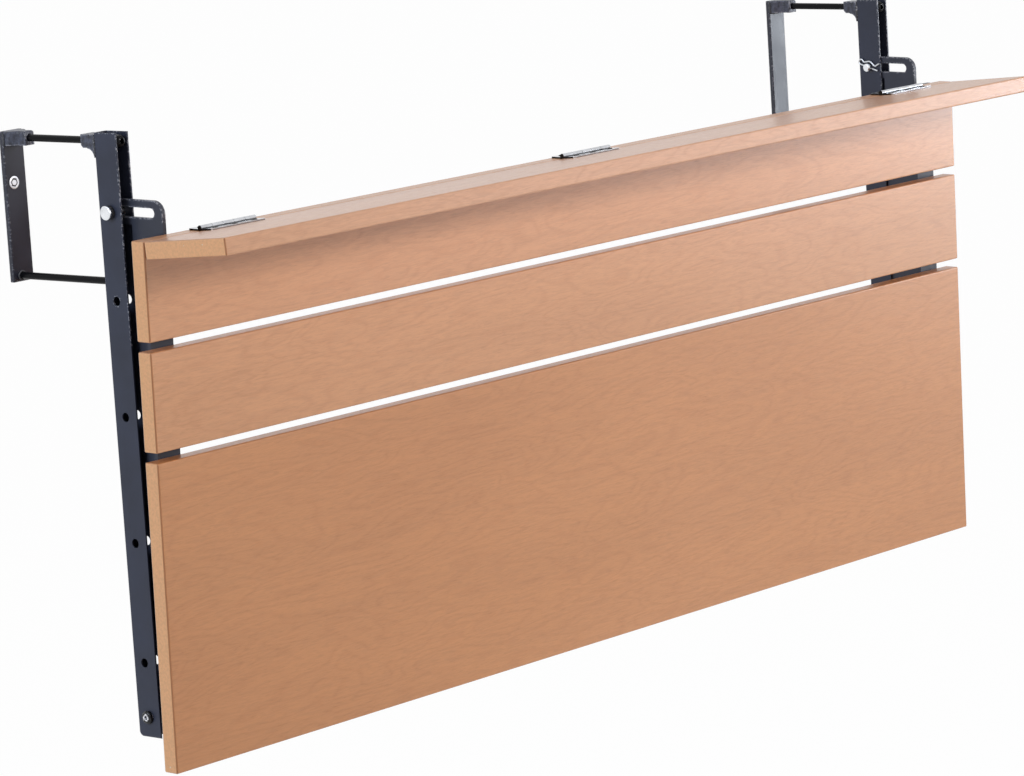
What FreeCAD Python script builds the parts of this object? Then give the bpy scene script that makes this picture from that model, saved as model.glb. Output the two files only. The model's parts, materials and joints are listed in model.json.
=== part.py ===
import FreeCAD, Part
import math
import os

import Sketcher
from FreeCAD import Placement, Rotation, Vector

# Balcony railing bar table, folded down, in millimetres.
# X runs along the table, +Y points over the railing to the outside, and +Z is up.
# The origin is at mid-length, on the back face of the two bracket channels,
# midway between clamp screw and guide rod, which is the height of the pivot pins.

doc = FreeCAD.newDocument("BalconyBarTable")
sheet = doc.addObject("Spreadsheet::Sheet", "Sizes")

# Driving sizes
SIZES = {
    # boards
    "table_length": 1200,
    "board_thick": 16,
    "slat_top_height": 90,
    "slat_middle_height": 90,
    "board_lower_height": 282,
    "board_gap": 9,
    "edge_round": 1.5,
    "shelf_depth": 99.5,
    "shelf_thick": 16,
    "shelf_rise": 5.5,
    "table_lean": 1,
    # place of the boards seen from the pivot pin
    "pin_above_table": 18,
    "pin_to_boards": 56,
    # rails: an angle behind each end of the boards, with a slotted ear welded on top
    "rail_from_end": 40.6,
    "rail_thick": 4,
    "rail_flange": 28,
    "rail_depth": 39,
    "rail_short": 25,
    "ear_radius": 11.3,
    "ear_front_round": 12,
    "slot_width": 9,
    "slot_travel": 41.5,
    # channels
    "channel_from_end": 31,
    "channel_width": 16,
    "channel_depth": 28,
    "channel_wall": 1.5,
    "channel_bend": 2,
    "channel_above_pin": 71,
    "channel_below_pin": 479,
    "channel_foot_round": 5,
    "pin_to_back": 14,
    "hole_drop_one": 80,
    "hole_drop_two": 185,
    "hole_drop_three": 300,
    "hole_drop_four": 410,
    # pivot pins with washer and spring clip
    "pin_diameter": 8.3,
    "pin_clearance": 0.1,
    "pin_head_diameter": 13,
    "pin_head_thick": 2,
    "pin_head_round": 0.9,
    "pin_tail": 7,
    "washer_diameter": 12.6,
    "washer_thick": 4,
    "side_gap": 0.3,
    "clip_wire": 1.8,
    "clip_gap": 0.6,
    "clip_reach": 12,
    "clip_bend": 2,
    "clip_slope": 17,
    # foot bolts with sleeve and nut
    "foot_drop": 460,
    "foot_bolt_diameter": 6,
    "foot_head_diameter": 12,
    "foot_head_height": 3.8,
    "foot_head_round": 2.2,
    "foot_key": 4,
    "foot_key_depth": 2,
    "foot_nut_flats": 10,
    "foot_nut_thick": 5,
    "rest_gap": 0.3,
    # clamp boss on the channel
    "boss_length": 17,
    "boss_height": 12,
    "boss_below_top": 2,
    "boss_corner": 3,
    "gusset_round": 8,
    "gusset_foot": 0.6,
    # clamp screw and guide rod
    "screw_rise": 63,
    "screw_diameter": 6.6,
    "screw_clearance": 0.06,
    "screw_head_diameter": 11.5,
    "screw_head_length": 8,
    "screw_head_round": 3.2,
    "screw_key": 5,
    "screw_key_depth": 3.5,
    "screw_reach": 141,
    "screw_end_gap": 1,
    "guide_drop": 63,
    "guide_from_end": 36.8,
    "guide_diameter": 6.6,
    "guide_length": 124,
    "web_hole_gap": 0.6,
    # clamp bar, its screw block and the jaw screw
    "jaw_opening": 113,
    "bar_width": 25,
    "bar_thick": 5,
    "bar_above_pin": 69.4,
    "bar_below_pin": 68.5,
    "bar_round": 1,
    "block_length": 22,
    "block_height": 13,
    "block_nose": 11,
    "block_round": 3,
    "block_top_round": 2,
    "jaw_screw_rise": 22,
    "jaw_screw_shift": 3,
    "jaw_screw_head": 12.6,
    "jaw_screw_thick": 0.8,
    "jaw_screw_shank": 6,
    # shelf hinges
    "hinge_length": 70,
    "hinge_left_from_end": 105,
    "hinge_middle_shift": 0,
    "hinge_right_from_end": 90,
    "leaf_width": 14,
    "leaf_thick": 1.5,
    "leaf_corner": 1.5,
    "knuckle_diameter": 4.8,
    "knuckle_gap": 0.3,
    "hinge_lift": 0.1,
    "hinge_pin_diameter": 2.3,
    "hinge_pin_clearance": 0.05,
    "leaf_screw_from_axis": 9,
    "leaf_screw_spacing": 25,
    "leaf_screw_head": 5.4,
    "leaf_screw_head_thick": 0.9,
    "leaf_screw_shank": 2.6,
    "leaf_screw_length": 11,
    # rail screws
    "rail_screw_shank": 4,
    "rail_screw_head": 9,
    "rail_screw_head_thick": 2.4,
    "rail_screw_head_round": 1.5,
    "rail_screw_length": 12,
    "rail_screw_from_end": 27,
    "rail_screw_edge": 20,
    "fit_gap": 0.05,
}
for row, (alias, number) in enumerate(SIZES.items(), start=1):
    sheet.set("A%d" % row, alias)
    sheet.set("B%d" % row, str(number))
    sheet.setAlias("B%d" % row, alias)
doc.recompute()

KNUCKLES = 5
LEAF_SCREWS = 3


def size(expression):
    """The present value of an expression in the sheet's sizes."""
    return float(sheet.evalExpression(expression))


# Heights of the boards, seen from the pivot pin
SLAT_TOP_HIGH = "-Sizes.pin_above_table"
SLAT_TOP_LOW = SLAT_TOP_HIGH + " - Sizes.slat_top_height"
SLAT_MIDDLE_HIGH = SLAT_TOP_LOW + " - Sizes.board_gap"
SLAT_MIDDLE_LOW = SLAT_MIDDLE_HIGH + " - Sizes.slat_middle_height"
BOARD_LOWER_HIGH = SLAT_MIDDLE_LOW + " - Sizes.board_gap"
BOARD_LOWER_LOW = BOARD_LOWER_HIGH + " - Sizes.board_lower_height"
RAIL_LOW = BOARD_LOWER_LOW + " + Sizes.rail_short"

# Depths, seen from the pivot pin
BOARD_BACK = "-Sizes.pin_to_boards"
BOARD_FRONT = BOARD_BACK + " - Sizes.board_thick"
RAIL_BACK = BOARD_BACK + " + Sizes.rail_depth"
EAR_LOW = "-Sizes.ear_radius"
CHANNEL_BACK = "Sizes.pin_to_back"
CHANNEL_FRONT = "Sizes.pin_to_back - Sizes.channel_depth"
BAR_FRONT = CHANNEL_BACK + " + Sizes.jaw_opening"

# The hinge axis lies over the joint of slat and shelf, just clear of the wood
HINGE_HEIGHT = "(Sizes.knuckle_diameter / 2 + Sizes.hinge_lift)"
HINGE_Y = "(" + BOARD_FRONT + ")"
HINGE_Z = "(" + SLAT_TOP_HIGH + " + " + HINGE_HEIGHT + ")"
LEAF_TOP = "-" + HINGE_HEIGHT + " + Sizes.leaf_thick"

# Middles of the three hinges along the table
HINGE_PLACES = {
    "left": "-Sizes.table_length / 2 + Sizes.hinge_left_from_end",
    "middle": "-Sizes.hinge_middle_shift",
    "right": "Sizes.table_length / 2 - Sizes.hinge_right_from_end",
}

# Left is the side of -X, and every bracket piece is measured inwards from the table's end
SIDES = {"left": -1, "right": 1}


def inward(side, distance):
    """X of a point at a distance inwards from the table's end."""
    return "%d * (%s)" % (-side, distance)


def start_of(side, near, far):
    """The lower X of a span between two distances from the table's end."""
    return inward(side, near) if side < 0 else inward(side, far)


def new_body(label):
    body = doc.addObject("PartDesign::Body", label)
    body.Label = label
    body.AllowCompound = True
    return body


def sketch(body, role, level="0"):
    """An empty sketch on one of the body's own planes, raised to a level."""
    plane = next(item for item in body.Origin.OriginFeatures if item.Role == role)
    drawing = body.newObject("Sketcher::SketchObject", "Sketch")
    drawing.AttachmentSupport = [(plane, "")]
    drawing.MapMode = "FlatFace"
    drawing.setExpression("AttachmentOffset.Base.z", level)
    return drawing


def pin_point(drawing, geometry, point, across, up):
    """Ties one point of the sketch to two expressions."""
    place = drawing.addConstraint(Sketcher.Constraint("DistanceX", -1, 1, geometry, point, size(across)))
    drawing.setExpression("Constraints[%d]" % place, across)
    place = drawing.addConstraint(Sketcher.Constraint("DistanceY", -1, 1, geometry, point, size(up)))
    drawing.setExpression("Constraints[%d]" % place, up)


def outline(drawing, corners):
    """A closed outline of straight sides through corners given as expressions."""
    points = [Vector(size(across), size(up), 0) for across, up in corners]
    first = drawing.GeometryCount
    count = len(points)
    for index, point in enumerate(points):
        drawing.addGeometry(Part.LineSegment(point, points[(index + 1) % count]), False)
    for index in range(count):
        following = first + (index + 1) % count
        drawing.addConstraint(Sketcher.Constraint("Coincident", first + index, 2, following, 1))
    for index, (across, up) in enumerate(corners):
        pin_point(drawing, first + index, 1, across, up)
    return drawing


def rectangle(drawing, left, right, low, high):
    return outline(drawing, [(left, low), (right, low), (right, high), (left, high)])


def circles(drawing, centres, diameter):
    """Equal circles around centres given as expressions."""
    radius = "(" + diameter + ") / 2"
    for across, up in centres:
        middle = Vector(size(across), size(up), 0)
        number = drawing.addGeometry(Part.Circle(middle, Vector(0, 0, 1), size(radius)), False)
        pin_point(drawing, number, 3, across, up)
        place = drawing.addConstraint(Sketcher.Constraint("Radius", number, size(radius)))
        drawing.setExpression("Constraints[%d]" % place, radius)
    return drawing


def hexagon(drawing, across, up, flats):
    """A regular hexagon, given across its flats."""
    corners = []
    for corner in range(6):
        angle = 60 * corner
        corner_across = "%s + (%s) / sqrt(3) * cos(%d)" % (across, flats, angle)
        corner_up = "%s + (%s) / sqrt(3) * sin(%d)" % (up, flats, angle)
        corners.append((corner_across, corner_up))
    return outline(drawing, corners)


def pad(body, drawing, length, middle=False, back=False):
    """Adds material from the sketch along its normal, to both sides, or backwards."""
    feature = body.newObject("PartDesign::Pad", "Pad")
    feature.Profile = drawing
    feature.setExpression("Length", length)
    feature.Midplane = middle
    feature.Reversed = back
    doc.recompute()
    return feature


def cut(body, drawing, length=None, back=False):
    """Takes material away through everything, or to a depth against or along the normal."""
    before = body.Shape.Volume
    feature = body.newObject("PartDesign::Pocket", "Pocket")
    feature.Profile = drawing
    if length is None:
        feature.Type = "ThroughAll"
        feature.Midplane = True
    else:
        feature.setExpression("Length", length)
        feature.Reversed = back
    doc.recompute()
    if feature.Shape.Volume >= before:
        raise ValueError("a cut of %s takes nothing away" % body.Label)
    return feature


def turn(body, drawing, axis):
    """A turned solid around one of the sketch's own axes."""
    feature = body.newObject("PartDesign::Revolution", "Revolution")
    feature.Profile = drawing
    feature.ReferenceAxis = (drawing, [axis])
    feature.Angle = 360
    doc.recompute()
    return feature


def round_off(body, radius, wanted):
    """Rounds the body's edges for which wanted(middle of the edge, edge) holds."""
    base = body.Tip
    names = []
    for number, edge in enumerate(base.Shape.Edges, start=1):
        if wanted(edge.CenterOfMass, edge):
            names.append("Edge%d" % number)
    if not names:
        raise ValueError("no edge of %s to round" % body.Label)
    feature = body.newObject("PartDesign::Fillet", "Fillet")
    feature.Base = (base, names)
    feature.setExpression("Radius", radius)
    doc.recompute()
    if feature.Shape.isNull():
        raise ValueError("rounding of %s failed" % body.Label)
    return feature


def near(value, expression):
    return abs(value - size(expression)) < 0.01


def along(edge, axis):
    """True for a straight edge that runs along a direction."""
    if not isinstance(edge.Curve, Part.Line):
        return False
    return abs(abs(edge.Curve.Direction.dot(axis)) - 1) < 0.001


def place(item, across="0", depth="0", height="0", lean="0"):
    """Puts a piece in the world, with its lean around the X axis through its own origin."""
    item.Placement = Placement(Vector(), Rotation(Vector(1, 0, 0), 1))
    item.setExpression("Placement.Base.x", across)
    item.setExpression("Placement.Base.y", depth)
    item.setExpression("Placement.Base.z", height)
    item.setExpression("Placement.Rotation.Angle", lean)
    pieces.append(item)


def place_on_bracket(item, side, distance="0", depth="0", height="0", lean="0"):
    across = "%d * (Sizes.table_length / 2 - (%s))" % (side, distance)
    place(item, across, "-Sizes.pin_to_back + " + depth, height, lean)


def place_on_table(item, across="0"):
    place(item, across, "-Sizes.pin_to_back", "0", "Sizes.table_lean")


def place_on_hinge(item, across, rise):
    """Puts a piece whose origin is the hinge axis, turned up by its rise."""
    turned = "(%s * cos(Sizes.table_lean) - %s * sin(Sizes.table_lean))" % (HINGE_Y, HINGE_Z)
    lifted = "(%s * sin(Sizes.table_lean) + %s * cos(Sizes.table_lean))" % (HINGE_Y, HINGE_Z)
    place(item, across, "-Sizes.pin_to_back + " + turned, lifted, "Sizes.table_lean - (%s)" % rise)


pieces = []
AXIS_X = Vector(1, 0, 0)
AXIS_Y = Vector(0, 1, 0)
AXIS_Z = Vector(0, 0, 1)


# Places of the screws: two in each board behind each rail, three in each hinge leaf
def rail_screw_heights():
    edge = "Sizes.rail_screw_edge"
    return {
        "slat_top": [SLAT_TOP_HIGH + " - " + edge, SLAT_TOP_LOW + " + " + edge],
        "slat_middle": [SLAT_MIDDLE_HIGH + " - " + edge, SLAT_MIDDLE_LOW + " + " + edge],
        "board_lower": [BOARD_LOWER_HIGH + " - " + edge, RAIL_LOW + " + " + edge],
    }


def leaf_screw_places(middle, direction):
    """X and Y of one leaf's screws, seen from the hinge axis."""
    spots = []
    for number in range(LEAF_SCREWS):
        step = number - (LEAF_SCREWS - 1) / 2
        spots.append(("%s + %g * Sizes.leaf_screw_spacing" % (middle, step),
                      "%d * Sizes.leaf_screw_from_axis" % direction))
    return spots


# Boards of the table
def make_board(label, low, high):
    body = new_body(label)
    section = rectangle(sketch(body, "YZ_Plane"), BOARD_FRONT, BOARD_BACK, low, high)
    pad(body, section, "Sizes.table_length", middle=True)
    round_off(body, "Sizes.edge_round", lambda middle, edge: True)
    spots = []
    for side in SIDES.values():
        across = "%d * (Sizes.table_length / 2 - Sizes.rail_screw_from_end)" % side
        spots += [(across, height) for height in rail_screw_heights()[label]]
    drawing = sketch(body, "XZ_Plane", "-(%s)" % BOARD_BACK)
    circles(drawing, spots, "Sizes.rail_screw_shank + 2 * Sizes.fit_gap")
    cut(body, drawing, "Sizes.rail_screw_length + Sizes.fit_gap", back=True)
    return body


top_slat = make_board("slat_top", SLAT_TOP_LOW, SLAT_TOP_HIGH)
slat_hinge_spots = []
for middle in HINGE_PLACES.values():
    slat_hinge_spots += leaf_screw_places(middle, 1)
drill = sketch(top_slat, "XY_Plane", SLAT_TOP_HIGH)
drill_spots = [(across, HINGE_Y + " + " + depth) for across, depth in slat_hinge_spots]
circles(drill, drill_spots, "Sizes.leaf_screw_shank + 2 * Sizes.fit_gap")
cut(top_slat, drill, "Sizes.leaf_screw_length")
place_on_table(top_slat)
place_on_table(make_board("slat_middle", SLAT_MIDDLE_LOW, SLAT_MIDDLE_HIGH))
place_on_table(make_board("board_lower", BOARD_LOWER_LOW, BOARD_LOWER_HIGH))

# Folding shelf board, seen from the hinge axis
shelf = new_body("shelf_board")
section = sketch(shelf, "YZ_Plane")
rectangle(section, "-Sizes.shelf_depth", "0", "-%s - Sizes.shelf_thick" % HINGE_HEIGHT, "-" + HINGE_HEIGHT)
pad(shelf, section, "Sizes.table_length", middle=True)
round_off(shelf, "Sizes.edge_round", lambda middle, edge: True)
shelf_hinge_spots = []
for middle in HINGE_PLACES.values():
    shelf_hinge_spots += leaf_screw_places(middle, -1)
drill = sketch(shelf, "XY_Plane", "-" + HINGE_HEIGHT)
circles(drill, shelf_hinge_spots, "Sizes.leaf_screw_shank + 2 * Sizes.fit_gap")
cut(shelf, drill, "Sizes.leaf_screw_length")
place_on_hinge(shelf, "0", "Sizes.shelf_rise")


# Hinge leaves: plate, knuckles around the hinge axis, gaps for the other leaf's knuckles
def make_leaf(label, direction, first_knuckle):
    body = new_body(label)
    edge = "%d * Sizes.leaf_width" % direction
    plate = rectangle(sketch(body, "YZ_Plane"), "0", edge, "-" + HINGE_HEIGHT, LEAF_TOP)
    pad(body, plate, "Sizes.hinge_length", middle=True)
    round_off(body, "Sizes.leaf_corner",
              lambda middle, side: along(side, AXIS_Z) and near(middle.y, edge))
    barrel = circles(sketch(body, "YZ_Plane"), [("0", "0")], "Sizes.knuckle_diameter")
    pad(body, barrel, "Sizes.hinge_length", middle=True)
    gaps = sketch(body, "XY_Plane")
    reach = "(Sizes.knuckle_diameter / 2 + Sizes.knuckle_gap)"
    for knuckle in range(1 - first_knuckle, KNUCKLES, 2):
        share = "Sizes.hinge_length / %d" % KNUCKLES
        low = "-Sizes.hinge_length / 2 + %d * %s - Sizes.knuckle_gap / 2" % (knuckle, share)
        high = low + " + %s + Sizes.knuckle_gap" % share
        rectangle(gaps, low, high, "-" + reach, reach)
    cut(body, gaps)
    bore = sketch(body, "YZ_Plane")
    circles(bore, [("0", "0")], "Sizes.hinge_pin_diameter + 2 * Sizes.hinge_pin_clearance")
    cut(body, bore)
    spots = leaf_screw_places("0", direction)
    holes = circles(sketch(body, "XY_Plane"), spots, "Sizes.leaf_screw_shank + 2 * Sizes.fit_gap")
    cut(body, holes)
    seats = circles(sketch(body, "XY_Plane", LEAF_TOP), spots, "Sizes.leaf_screw_head + 2 * Sizes.fit_gap")
    cut(body, seats, "Sizes.leaf_screw_head_thick")
    return body


def make_hinge_pin(label):
    body = new_body(label)
    pad(body, circles(sketch(body, "YZ_Plane"), [("0", "0")], "Sizes.hinge_pin_diameter"),
        "Sizes.hinge_length", middle=True)
    return body


for name, middle in HINGE_PLACES.items():
    place_on_hinge(make_leaf(name + "_slat_hinge_leaf", 1, 0), middle, "0")
    place_on_hinge(make_leaf(name + "_shelf_hinge_leaf", -1, 1), middle, "Sizes.shelf_rise")
    place_on_hinge(make_hinge_pin(name + "_hinge_pin"), middle, "0")


# Hinge screws: flush heads in the leaves and shanks in the wood
def make_leaf_screws(label, spots, rise):
    body = new_body(label)
    heads = circles(sketch(body, "XY_Plane", LEAF_TOP), spots, "Sizes.leaf_screw_head")
    pad(body, heads, "Sizes.leaf_screw_head_thick - Sizes.fit_gap", back=True)
    shanks = circles(sketch(body, "XY_Plane", LEAF_TOP), spots, "Sizes.leaf_screw_shank")
    pad(body, shanks, "Sizes.leaf_screw_length", back=True)
    place_on_hinge(body, "0", rise)


make_leaf_screws("slat_hinge_screws", slat_hinge_spots, "0")
make_leaf_screws("shelf_hinge_screws", shelf_hinge_spots, "Sizes.shelf_rise")


# Rails, seen from the pivot pin at the table's end
def make_rail(label, side):
    body = new_body(label)
    near_face = "Sizes.rail_from_end"
    far_face = near_face + " + Sizes.rail_thick"
    plate = sketch(body, "YZ_Plane", start_of(side, near_face, far_face))
    rectangle(plate, BOARD_BACK, RAIL_BACK, RAIL_LOW, EAR_LOW)
    pad(body, plate, "Sizes.rail_thick")
    flange = sketch(body, "XY_Plane", RAIL_LOW)
    flange_near = inward(side, far_face + " - Sizes.rail_flange")
    rectangle(flange, flange_near, inward(side, far_face), BOARD_BACK, BOARD_BACK + " + Sizes.rail_thick")
    pad(body, flange, "%s - (%s)" % (SLAT_TOP_HIGH, RAIL_LOW))
    round_off(body, "Sizes.rail_thick / 3", lambda middle, edge: (
        along(edge, AXIS_X) and near(middle.z, RAIL_LOW) and near(middle.y, RAIL_BACK)))
    spots = []
    for heights in rail_screw_heights().values():
        spots += [(inward(side, "Sizes.rail_screw_from_end"), height) for height in heights]
    holes = circles(sketch(body, "XZ_Plane"), spots, "Sizes.rail_screw_shank + 2 * Sizes.fit_gap")
    cut(body, holes)
    place_on_table(body, "%d * Sizes.table_length / 2" % side)


# Ears: slotted plates in line with the rails, round at the pin and bent over at the front
def make_ear(label, side):
    body = new_body(label)
    level = start_of(side, "Sizes.rail_from_end", "Sizes.rail_from_end + Sizes.rail_thick")
    plate = rectangle(sketch(body, "YZ_Plane", level), BOARD_BACK, "0", EAR_LOW, "Sizes.ear_radius")
    pad(body, plate, "Sizes.rail_thick")
    round_end = circles(sketch(body, "YZ_Plane", level), [("0", "0")], "2 * Sizes.ear_radius")
    pad(body, round_end, "Sizes.rail_thick")
    round_off(body, "Sizes.ear_front_round", lambda middle, edge: (
        along(edge, AXIS_X) and near(middle.y, BOARD_BACK) and near(middle.z, "Sizes.ear_radius")))
    half = "Sizes.slot_width / 2"
    cut(body, rectangle(sketch(body, "YZ_Plane"), "-Sizes.slot_travel", "0", "-" + half, half))
    ends = circles(sketch(body, "YZ_Plane"), [("0", "0"), ("-Sizes.slot_travel", "0")], "Sizes.slot_width")
    cut(body, ends)
    place_on_table(body, "%d * Sizes.table_length / 2" % side)


# Rail screws: round heads on the angle and shanks in the boards
def make_rail_screws(label, side):
    body = new_body(label)
    spots = []
    for heights in rail_screw_heights().values():
        spots += [(inward(side, "Sizes.rail_screw_from_end"), height) for height in heights]
    seat = "-(%s + Sizes.rail_thick)" % BOARD_BACK
    heads = circles(sketch(body, "XZ_Plane", seat), spots, "Sizes.rail_screw_head")
    pad(body, heads, "Sizes.rail_screw_head_thick", back=True)
    crown = "%s + Sizes.rail_thick + Sizes.rail_screw_head_thick" % BOARD_BACK
    round_off(body, "Sizes.rail_screw_head_round", lambda middle, edge: near(middle.y, crown))
    shanks = circles(sketch(body, "XZ_Plane", seat), spots, "Sizes.rail_screw_shank")
    pad(body, shanks, "Sizes.rail_thick + Sizes.rail_screw_length")
    place_on_table(body, "%d * Sizes.table_length / 2" % side)


# Channels, open towards the table, seen from the pivot pin at the table's end
def make_channel(label, side):
    body = new_body(label)
    outer_near = "Sizes.channel_from_end"
    outer_far = outer_near + " + Sizes.channel_width"
    section = sketch(body, "XY_Plane", "-Sizes.channel_below_pin")
    rectangle(section, inward(side, outer_near), inward(side, outer_far), CHANNEL_FRONT, CHANNEL_BACK)
    pad(body, section, "Sizes.channel_above_pin + Sizes.channel_below_pin")
    round_off(body, "Sizes.channel_foot_round", lambda middle, edge: (
        along(edge, AXIS_X) and near(middle.y, CHANNEL_BACK) and near(middle.z, "-Sizes.channel_below_pin")))
    round_off(body, "Sizes.channel_bend", lambda middle, edge: (
        along(edge, AXIS_Z) and near(middle.y, CHANNEL_BACK)))
    hollow = sketch(body, "XY_Plane")
    inner_near = inward(side, outer_near + " + Sizes.channel_wall")
    inner_far = inward(side, outer_far + " - Sizes.channel_wall")
    rectangle(hollow, inner_near, inner_far, CHANNEL_FRONT + " - 1", CHANNEL_BACK + " - Sizes.channel_wall")
    cut(body, hollow)
    drops = ["0", "-Sizes.hole_drop_one", "-Sizes.hole_drop_two", "-Sizes.hole_drop_three",
             "-Sizes.hole_drop_four"]
    pin_holes = sketch(body, "YZ_Plane")
    circles(pin_holes, [("0", drop) for drop in drops], "Sizes.pin_diameter + 2 * Sizes.pin_clearance")
    cut(body, pin_holes)
    foot_hole = sketch(body, "YZ_Plane")
    circles(foot_hole, [("0", "-Sizes.foot_drop")], "Sizes.foot_bolt_diameter + 2 * Sizes.fit_gap")
    cut(body, foot_hole)
    web_holes = sketch(body, "XZ_Plane")
    middle = outer_near + " + Sizes.channel_width / 2"
    circles(web_holes, [(inward(side, middle), "Sizes.screw_rise")], "Sizes.screw_diameter + Sizes.web_hole_gap")
    guide = (inward(side, "Sizes.guide_from_end"), "-Sizes.guide_drop")
    circles(web_holes, [guide], "Sizes.guide_diameter + 2 * Sizes.screw_clearance")
    cut(body, web_holes)
    place_on_bracket(body, side)


# Threaded bosses behind the channels' tops, with a curved gusset under each
def make_boss(label, side):
    body = new_body(label)
    high = "Sizes.channel_above_pin - Sizes.boss_below_top"
    low = high + " - Sizes.boss_height"
    gusset = "(Sizes.gusset_round + Sizes.gusset_foot)"
    middle = "Sizes.channel_from_end + Sizes.channel_width / 2"
    profile = sketch(body, "YZ_Plane")
    outline(profile, [
        (CHANNEL_BACK, high),
        (CHANNEL_BACK + " + Sizes.boss_length", high),
        (CHANNEL_BACK + " + Sizes.boss_length", low + " + Sizes.boss_corner"),
        (CHANNEL_BACK + " + Sizes.boss_length - Sizes.boss_corner", low),
        (CHANNEL_BACK + " + " + gusset, low),
        (CHANNEL_BACK + " + " + gusset, low + " - " + gusset),
        (CHANNEL_BACK, low + " - " + gusset),
    ])
    pad(body, profile, "Sizes.channel_width", middle=True)
    scoop = sketch(body, "YZ_Plane")
    circles(scoop, [(CHANNEL_BACK + " + " + gusset, low + " - " + gusset)], "2 * Sizes.gusset_round")
    cut(body, scoop)
    bore = circles(sketch(body, "XZ_Plane"), [("0", "Sizes.screw_rise")],
                   "Sizes.screw_diameter + 2 * Sizes.screw_clearance")
    cut(body, bore)
    back = CHANNEL_BACK + " + Sizes.boss_length"
    round_off(body, "Sizes.channel_bend / 2", lambda spot, edge: along(edge, AXIS_Z) and near(spot.y, back))
    place_on_bracket(body, side, middle)


# Pivot pins: head outside the channel, washer under it, cross hole for the clip inside
def make_pin(label, side):
    body = new_body(label)
    outer = "Sizes.channel_from_end - Sizes.side_gap - Sizes.washer_thick"
    inner = "Sizes.channel_from_end + Sizes.channel_width"
    profile = sketch(body, "XY_Plane")
    outline(profile, [
        (inward(side, outer + " - Sizes.pin_head_thick"), "0"),
        (inward(side, outer + " - Sizes.pin_head_thick"), "Sizes.pin_head_diameter / 2"),
        (inward(side, outer), "Sizes.pin_head_diameter / 2"),
        (inward(side, outer), "Sizes.pin_diameter / 2"),
        (inward(side, inner + " + Sizes.pin_tail - 1"), "Sizes.pin_diameter / 2"),
        (inward(side, inner + " + Sizes.pin_tail"), "Sizes.pin_diameter / 2 - 1"),
        (inward(side, inner + " + Sizes.pin_tail"), "0"),
    ])
    turn(body, profile, "H_Axis")
    crown = inward(side, outer + " - Sizes.pin_head_thick")
    round_off(body, "Sizes.pin_head_round", lambda middle, edge: near(middle.x, crown))
    cross = sketch(body, "XY_Plane")
    spot = (inward(side, inner + " + Sizes.clip_gap + Sizes.clip_wire / 2"), "0")
    circles(cross, [spot], "Sizes.clip_wire + 4 * Sizes.fit_gap")
    cross.AttachmentOffset = Placement(Vector(), Rotation(AXIS_X, 90))
    cross.setExpression("AttachmentOffset.Rotation.Angle", "90 + Sizes.clip_slope")
    cut(body, cross)
    place_on_bracket(body, side)


def make_pin_washer(label, side):
    body = new_body(label)
    far = "Sizes.channel_from_end - Sizes.side_gap"
    level = start_of(side, far + " - Sizes.washer_thick", far)
    pad(body, circles(sketch(body, "YZ_Plane", level), [("0", "0")], "Sizes.washer_diameter"),
        "Sizes.washer_thick")
    cut(body, circles(sketch(body, "YZ_Plane"), [("0", "0")], "Sizes.pin_diameter + 2 * Sizes.fit_gap"))
    place_on_bracket(body, side)


def rounded_path(points, radii):
    """A wire through points, its inner corners rounded by tangent arcs."""
    edges = []
    start = points[0]
    for index in range(1, len(points) - 1):
        corner = points[index]
        back = (points[index - 1] - corner).normalize()
        ahead = (points[index + 1] - corner).normalize()
        half = back.getAngle(ahead) / 2
        radius = radii[index - 1]
        reach = radius / math.tan(half)
        inside = corner + (back + ahead).normalize() * (radius / math.sin(half) - radius)
        first = corner + back * reach
        last = corner + ahead * reach
        edges.append(Part.LineSegment(start, first).toShape())
        edges.append(Part.Arc(first, inside, last).toShape())
        start = last
    edges.append(Part.LineSegment(start, points[-1]).toShape())
    return Part.Wire(edges)


# Spring clips: one leg through the pin, a round bend, and a leg that hugs the pin
def make_clip(label, side):
    reach = size("Sizes.clip_reach")
    bend = size("Sizes.clip_bend")
    hug = size("Sizes.pin_diameter / 2 + Sizes.clip_wire / 2 + Sizes.rest_gap")
    dip = 0.62 * hug
    points = [
        Vector(0, -reach, 0),
        Vector(0, hug + 4 * bend, 0),
        Vector(0, hug + 4 * bend, 2 * bend + dip),
        Vector(0, hug + bend, dip),
        Vector(0, 0, 1.28 * hug),
        Vector(0, -hug - bend, dip),
        Vector(0, -reach, 1.5 * hug),
    ]
    radii = [1.2 * bend, 1.2 * bend, bend, hug, bend]
    path = rounded_path(points, radii)
    wire = size("Sizes.clip_wire") / 2
    rim = Part.Wire([Part.Circle(points[0], AXIS_Y, wire).toShape()])
    clip = doc.addObject("Part::Feature", label)
    clip.Shape = path.makePipeShell([rim], True, False)
    inner = "Sizes.channel_from_end + Sizes.channel_width + Sizes.clip_gap + Sizes.clip_wire / 2"
    place_on_bracket(clip, side, inner, lean="Sizes.clip_slope")


# Foot bolts: round head outside, sleeve between the flanges, nut inside
FOOT = "-Sizes.foot_drop"
SLEEVE_RADIUS = ("(-(%s) * cos(Sizes.table_lean) - Sizes.foot_drop * sin(Sizes.table_lean)"
                 " - Sizes.rest_gap)" % RAIL_BACK)


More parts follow.
